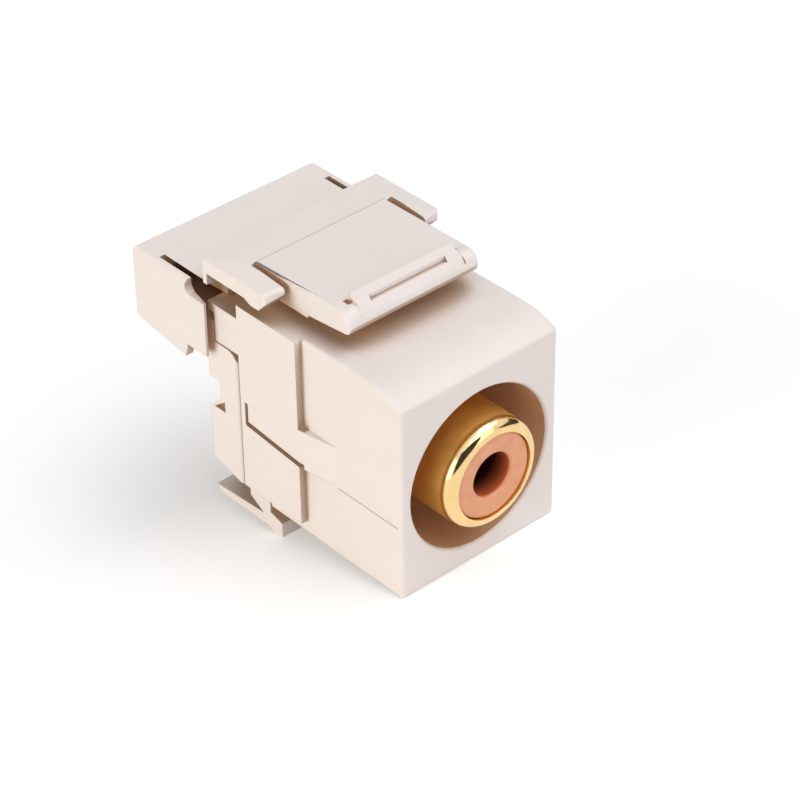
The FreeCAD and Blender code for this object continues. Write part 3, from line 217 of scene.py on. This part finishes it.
class Shader:
    """A node material with a principled surface, and short calls for its nodes."""

    def __init__(self, name, metallic=0.0):
        self.material = bpy.data.materials.new(name)
        self.material.use_nodes = True
        self.tree = self.material.node_tree
        self.surface = self.tree.nodes["Principled BSDF"]
        self.surface.inputs["Metallic"].default_value = metallic
        self.place = self.node("ShaderNodeTexCoord").outputs["Object"]

    def node(self, kind, **settings):
        """Add a node with some of its settings."""
        made = self.tree.nodes.new(kind)
        for key, value in settings.items():
            setattr(made, key, value)
        return made

    def link(self, source, target):
        """Join an output to an input."""
        self.tree.links.new(source, target)

    def dress(self, colour, roughness, normal):
        """Give the surface its colour, roughness and normals."""
        self.link(colour, self.surface.inputs["Base Color"])
        self.link(roughness, self.surface.inputs["Roughness"])
        self.link(normal, self.surface.inputs["Normal"])

    def noise(self, size, detail=PLAIN_DETAIL, stretch=(1, 1, 1)):
        """Noise whose cells are about one size across."""
        mapping = self.node("ShaderNodeMapping")
        mapping.inputs["Scale"].default_value = stretch
        self.link(self.place, mapping.inputs["Vector"])
        made = self.node("ShaderNodeTexNoise")
        made.inputs["Scale"].default_value = 1 / size
        made.inputs["Detail"].default_value = detail
        self.link(mapping.outputs["Vector"], made.inputs["Vector"])
        return made.outputs["Fac"]

    def cloud(self, size):
        """Soft drifts from 0 to 1."""
        return self.ramp(self.noise(size), *CLOUD_SPREAD)

    def rings(self, depth, pitch):
        """Turned rings of uneven height, about one pitch apart."""
        made = self.node("ShaderNodeTexNoise", noise_dimensions="1D")
        made.inputs["Scale"].default_value = 1 / pitch
        self.link(depth, made.inputs["W"])
        return made.outputs["Fac"]

    def along(self, axis):
        """A place's coordinate along an axis."""
        split = self.node("ShaderNodeSeparateXYZ")
        self.link(self.place, split.inputs["Vector"])
        return split.outputs[axis]

    def depth(self):
        """How far back a place is from the front face."""
        return self.along("Y")

    def inside(self, radius):
        """1 within a radius of the jack's axis, 0 outside."""
        flat = self.node("ShaderNodeVectorMath", operation="MULTIPLY")
        flat.inputs[1].default_value = (1, 0, 1)
        self.link(self.place, flat.inputs[0])
        length = self.node("ShaderNodeVectorMath", operation="LENGTH")
        self.link(flat.outputs["Vector"], length.inputs[0])
        return self.ramp(length.outputs["Value"], radius, radius - RADIUS_FADE)

    def band(self, value, middle, half):
        """1 within half of the middle, and soon 0 beyond it."""
        offset = self.node("ShaderNodeMath", operation="SUBTRACT")
        offset.inputs[1].default_value = middle
        self.link(value, offset.inputs[0])
        size = self.node("ShaderNodeMath", operation="ABSOLUTE")
        self.link(offset.outputs["Value"], size.inputs[0])
        return self.ramp(size.outputs["Value"], half + BAND_FADE, half)

    def combine(self, operation, first, second):
        """One value from two."""
        made = self.node("ShaderNodeMath", operation=operation)
        self.link(first, made.inputs[0])
        self.link(second, made.inputs[1])
        return made.outputs["Value"]

    def both(self, first, second):
        """The product of two factors."""
        return self.combine("MULTIPLY", first, second)

    def either(self, first, second):
        """The larger of two factors."""
        return self.combine("MAXIMUM", first, second)

    def ramp(self, factor, low, high, start=0.0, end=1.0):
        """Stretch a factor from low..high to start..end."""
        made = self.node("ShaderNodeMapRange")
        made.inputs["From Min"].default_value = low
        made.inputs["From Max"].default_value = high
        made.inputs["To Min"].default_value = start
        made.inputs["To Max"].default_value = end
        self.link(factor, made.inputs["Value"])
        return made.outputs["Result"]

    def mix(self, factor, first, second):
        """Blend two colours, each a fixed colour or an output."""
        made = self.node("ShaderNodeMix", data_type="RGBA")
        self.link(factor, made.inputs["Factor"])
        for side, colour in zip(MIX_INPUTS, (first, second)):
            if isinstance(colour, tuple):
                made.inputs[side].default_value = colour
            else:
                self.link(colour, made.inputs[side])
        return made.outputs[MIX_OUTPUT]

    def soft_edges(self, radius):
        """Normals that run round the solid's edges."""
        made = self.node("ShaderNodeBevel", samples=EDGE_SAMPLES)
        made.inputs["Radius"].default_value = radius
        return made.outputs["Normal"]

    def bump(self, height, relief, normal=None):
        """Raise the surface by a height of up to the relief."""
        made = self.node("ShaderNodeBump")
        made.inputs["Distance"].default_value = relief
        self.link(height, made.inputs["Height"])
        if normal is not None:
            self.link(normal, made.inputs["Normal"])
        return made.outputs["Normal"]

    def hollow(self, reach):
        """How closed-in a place is: 0 in the open, 1 deep in a gap."""
        made = self.node("ShaderNodeAmbientOcclusion", samples=HOLLOW_SAMPLES)
        made.inputs["Distance"].default_value = reach
        return self.ramp(made.outputs["AO"], 0.0, 1.0, 1.0, 0.0)


def recess(shader):
    """1 in the recess round the jack, from just behind the front face to the recess's floor, where the
    painted recess shade goes.
    """
    depth = shader.depth()
    behind_face = shader.ramp(depth, 0.0, RECESS_SHADE)
    before_end = shader.ramp(depth, RECESS_END, RECESS_FLOOR)
    return shader.both(shader.inside(RECESS_RADIUS), shader.both(behind_face, before_end))


def painted_crease_line(shader):
    """1 on the fold line across the root of the latch, where a painted shadow line goes."""
    line = shader.band(shader.depth(), CREASE_BACK, CREASE_HALF)
    between = shader.band(shader.along("X"), 0.0, CREASE_REACH)
    above = shader.ramp(shader.along("Z"), CREASE_ABOVE, CREASE_ABOVE + BAND_FADE)
    return shader.both(shader.both(line, between), above)


def side_steps(shader):
    """1 on the parting line and on the ledge at the shoulder's foot, which are too shallow for the painted
    shade, so it is taken off there.
    """
    height = shader.along("Z")
    depth = shader.depth()
    parting_run = shader.band(depth, PARTING_MIDDLE, PARTING_REACH)
    parting = shader.both(shader.band(height, PARTING_HEIGHT, PARTING_HALF), parting_run)
    ledge_run = shader.band(depth, LEDGE_MIDDLE, LEDGE_REACH)
    ledge = shader.both(shader.band(height, LEDGE_HEIGHT, LEDGE_HALF), ledge_run)
    outside = shader.ramp(shader.band(shader.along("X"), 0.0, SIDE_FACE), 1.0, 0.0)
    return shader.both(shader.either(parting, ledge), outside)


def almond_plastic(name, edge, latch=False):
    """Satin almond moulding with a fine eroded texture, with painted warm shade in its corners, gaps,
    slits and recess, and on the latch a painted shadow line along its fold.
    """
    shader = Shader(name)
    clouded = shader.mix(shader.cloud(ALMOND_CLOUD), *ALMOND_TONES)
    speck = shader.ramp(shader.noise(SPECK_SIZE), *SPECK_SPREAD)
    plain = shader.mix(speck, clouded, SPECK_TONE)
    # Painted shade in concave corners, by how closed-in they are
    corner = shader.ramp(shader.hollow(CORNER_REACH), *CORNER_SPREAD)
    base = shader.mix(corner, plain, CORNER_PAINTED_SHADE)
    closed = shader.hollow(GAP_REACH)
    # Painted shade in gaps, such as the one under the latch tab
    base = shader.mix(shader.ramp(closed, *GAP_SPREAD), base, GAP_PAINTED_SHADE)
    # Painted warm shade and painted glow in the deepest slits
    base = shader.mix(shader.ramp(closed, *SLIT_SPREAD), base, SLIT_PAINTED_SHADE_AND_GLOW)
    # Painted corner and gap shade taken off again on the parting line and the ledge
    if not latch:
        base = shader.mix(side_steps(shader), base, plain)
    # Painted brown shade in the recess round the jack
    base = shader.mix(recess(shader), base, RECESS_PAINTED_SHADE_TONE)
    if latch:
        # Painted shadow line along the latch's fold groove
        base = shader.mix(painted_crease_line(shader), base, CREASE_PAINTED_SHADOW)
    grain = shader.ramp(shader.noise(ALMOND_GRAIN, FINE_DETAIL), *GRAIN_SPREAD)
    roughness = shader.ramp(grain, 0.0, 1.0, *ALMOND_ROUGHNESS)
    shader.dress(base, roughness, shader.bump(grain, ALMOND_RELIEF, shader.soft_edges(edge)))
    return shader.material


def gold_plate():
    """Gold plate over fine turning lines, satin on the barrel and polished on the lip."""
    shader = Shader("gold_plate", metallic=1.0)
    cloud = shader.cloud(GOLD_CLOUD)
    depth = shader.depth()
    lip = shader.ramp(depth, LIP_START, LIP_START - LIP_BLEND)
    base = shader.mix(lip, shader.mix(cloud, *SATIN_TONES), shader.mix(cloud, *POLISHED_TONES))
    gloss = shader.ramp(lip, 0.0, 1.0, *GOLD_ROUGHNESS)
    smear = shader.ramp(shader.noise(SMEAR_SIZE), *GRAIN_SPREAD, *SMEAR_ROUGHNESS)
    turning = shader.rings(depth, TURNING_PITCH)
    normal = shader.bump(turning, TURNING_RELIEF, shader.soft_edges(GOLD_EDGE))
    shader.dress(base, shader.combine("ADD", gloss, smear), normal)
    return shader.material


def orange_insulator():
    """Moulded insulator with a slightly waxy surface, and painted shade in its hole."""
    shader = Shader("orange_insulator")
    base = shader.mix(shader.cloud(INSULATOR_CLOUD), *INSULATOR_TONES)
    depth = shader.depth()
    # Painted shade on the hole's wall
    wall = shader.ramp(depth, HOLE_START, HOLE_START + HOLE_EDGE)
    base = shader.mix(wall, base, HOLE_WALL_PAINTED_SHADE)
    # Painted shade that turns the hole near black with depth
    hole = shader.ramp(depth, HOLE_START, HOLE_DARK)
    base = shader.mix(hole, base, HOLE_DEEP_PAINTED_SHADE)
    grain = shader.noise(INSULATOR_GRAIN, FINE_DETAIL)
    roughness = shader.ramp(grain, *GRAIN_SPREAD, *INSULATOR_ROUGHNESS)
    normal = shader.bump(grain, INSULATOR_RELIEF, shader.soft_edges(INSULATOR_EDGE))
    shader.dress(base, roughness, normal)
    return shader.material


def plated_metal(name, tones, roughness):
    """Plated sheet or turned metal with faint rolling lines."""
    shader = Shader(name, metallic=1.0)
    base = shader.mix(shader.cloud(METAL_CLOUD), *tones)
    lines = shader.noise(ROLLING_SIZE, FINEST_DETAIL, ROLLING_STRETCH)
    normal = shader.bump(lines, ROLLING_RELIEF, shader.soft_edges(METAL_EDGE))
    shader.dress(base, shader.ramp(lines, *GRAIN_SPREAD, *roughness), normal)
    return shader.material


def board_laminate():
    """Green solder mask over a woven laminate."""
    shader = Shader("board_laminate")
    weave = shader.noise(WEAVE_SIZE, COARSE_DETAIL)
    base = shader.mix(shader.ramp(weave, *CLOUD_SPREAD), *BOARD_TONES)
    roughness = shader.ramp(weave, *GRAIN_SPREAD, *BOARD_ROUGHNESS)
    shader.dress(base, roughness, shader.bump(weave, WEAVE_RELIEF))
    return shader.material


def dress_nodes():
    """Give every node of the frame the material of its slot, and the latch cap one of its own."""
    materials = {
        "almond_moulding": almond_plastic("almond_moulding", HOUSING_EDGE),
        "gold_plate": gold_plate(),
        "orange_insulator": orange_insulator(),
        "plated_steel": plated_metal("plated_steel", STEEL_TONES, STEEL_ROUGHNESS),
        "tinned_contact": plated_metal("tinned_contact", TIN_TONES, TIN_ROUGHNESS),
        "board_laminate": board_laminate(),
    }
    for subpart in frame["record"]["subparts"]:
        node = frame["nodes"][subpart["node"]]
        node.data.materials.clear()
        node.data.materials.append(materials[subpart["material_slot"]])
    latch = frame["nodes"]["latch_cap"]
    latch.data.materials[0] = almond_plastic("almond_latch", LATCH_EDGE, latch=True)


def add(name, data):
    """Put a new object into the scene."""
    made = bpy.data.objects.new(name, data)
    bpy.context.collection.objects.link(made)
    return made


def add_square(name, corners, material):
    """Put a flat sheet with four corners into the scene."""
    mesh = bpy.data.meshes.new(name)
    mesh.from_pydata(corners, [], [(0, 1, 2, 3)])
    mesh.materials.append(material)
    return add(name, mesh)


def camera():
    """Stand the camera where the photograph was taken."""
    data = bpy.data.cameras.new("camera")
    data.sensor_width = SENSOR_WIDTH
    data.lens = SENSOR_WIDTH * FOCAL_PIXELS / IMAGE_PIXELS
    data.clip_start = CAMERA_NEAR
    made = add("camera", data)
    back = -CAMERA_FORWARD.normalized()
    right = CAMERA_RIGHT.normalized()
    up = back.cross(right)
    turn = Matrix((right, up, back)).transposed().to_4x4()
    made.matrix_world = Matrix.Translation(CAMERA_PLACE) @ turn
    bpy.context.scene.camera = made


def seen_directly(tree):
    """1 for rays from the camera, from metal and through glass, 0 for diffuse light."""
    path = tree.nodes.new("ShaderNodeLightPath")
    most = path.outputs["Is Camera Ray"]
    for ray in ("Is Glossy Ray", "Is Transmission Ray"):
        larger = tree.nodes.new("ShaderNodeMath")
        larger.operation = "MAXIMUM"
        tree.links.new(most, larger.inputs[0])
        tree.links.new(path.outputs[ray], larger.inputs[1])
        most = larger.outputs["Value"]
    return most


def white_world():
    """White to look at, and a plain level of light on the object."""
    world = bpy.data.worlds.new("white_world")
    bpy.context.scene.world = world
    world.use_nodes = True
    tree = world.node_tree
    lighting = tree.nodes["Background"]
    lighting.inputs["Color"].default_value = WORLD_COLOUR
    lighting.inputs["Strength"].default_value = WORLD_LEVEL
    shown = tree.nodes.new("ShaderNodeBackground")
    shown.inputs["Color"].default_value = WHITE
    mixed = tree.nodes.new("ShaderNodeMixShader")
    tree.links.new(seen_directly(tree), mixed.inputs["Fac"])
    tree.links.new(lighting.outputs["Background"], mixed.inputs[1])
    tree.links.new(shown.outputs["Background"], mixed.inputs[2])
    tree.links.new(mixed.outputs["Shader"], tree.nodes["World Output"].inputs["Surface"])


def floor_material():
    """Pale floor that reads as white where no shadow falls on it."""
    material = bpy.data.materials.new("floor")
    material.use_nodes = True
    tree = material.node_tree
    tree.nodes.remove(tree.nodes["Principled BSDF"])

    def diffuse(level):
        made = tree.nodes.new("ShaderNodeBsdfDiffuse")
        made.inputs["Color"].default_value = (level, level, level, 1)
        return made.outputs["BSDF"]

    glow = tree.nodes.new("ShaderNodeEmission")
    glow.inputs["Strength"].default_value = FLOOR_GLOW
    shown = tree.nodes.new("ShaderNodeAddShader")
    tree.links.new(diffuse(FLOOR_DIFFUSE), shown.inputs[0])
    tree.links.new(glow.outputs["Emission"], shown.inputs[1])
    mixed = tree.nodes.new("ShaderNodeMixShader")
    tree.links.new(seen_directly(tree), mixed.inputs["Fac"])
    tree.links.new(diffuse(FLOOR_ALBEDO), mixed.inputs[1])
    tree.links.new(shown.outputs["Shader"], mixed.inputs[2])
    tree.links.new(mixed.outputs["Shader"], tree.nodes["Material Output"].inputs["Surface"])
    return material


def floor():
    """Pale floor through the front edge and the foot of the lower catch."""
    catch_foot = Vector((0, CATCH_FOOT_BACK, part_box("front_housing")[0].z))
    front_edge = Vector((0, 0, FRONT_EDGE_HEIGHT))
    along = (catch_foot - front_edge).normalized()
    across = Vector((1, 0, 0))
    corners = [front_edge + (across * side + along * end) * FLOOR_HALF for side, end in SQUARE]
    made = add_square("floor", corners, floor_material())
    # The plastic's painted warm shade would otherwise take the floor for a wall of a gap
    made.visible_shadow = False


def dark_card(name, towards, width, height):
    """Dark card that faces the object and shows only in its reflections."""
    material = bpy.data.materials.new(name)
    material.use_nodes = True
    surface = material.node_tree.nodes["Principled BSDF"]
    surface.inputs["Base Color"].default_value = CARD_COLOUR
    corners = [(side * width / 2, end * height / 2, 0) for side, end in SQUARE]
    made = add_square(name, corners, material)
    made.location = towards.normalized() * CARD_DISTANCE
    made.rotation_mode = "QUATERNION"
    made.rotation_quaternion = towards.to_track_quat("Z", "Y")
    made.visible_camera = False
    made.visible_diffuse = False
    made.visible_transmission = False
    made.visible_shadow = False


def lamp(name, towards, level, colour, size):
    """Soft square lamp that faces the object, with the power that gives its level there."""
    data = bpy.data.lights.new(name, "AREA")
    data.size = size
    data.color = colour
    data.energy = level * math.pi**2 * LAMP_DISTANCE**2
    made = add(name, data)
    centre = (cad_low + cad_high) / 2
    made.location = centre + towards.normalized() * LAMP_DISTANCE
    made.rotation_mode = "QUATERNION"
    made.rotation_quaternion = (-towards).to_track_quat("-Z", "Y")


dress_nodes()
camera()
white_world()
floor()
for settings in LAMPS:
    lamp(*settings)
for settings in CARDS:
    dark_card(*settings)
bpy.context.scene.view_settings.view_transform = "Standard"
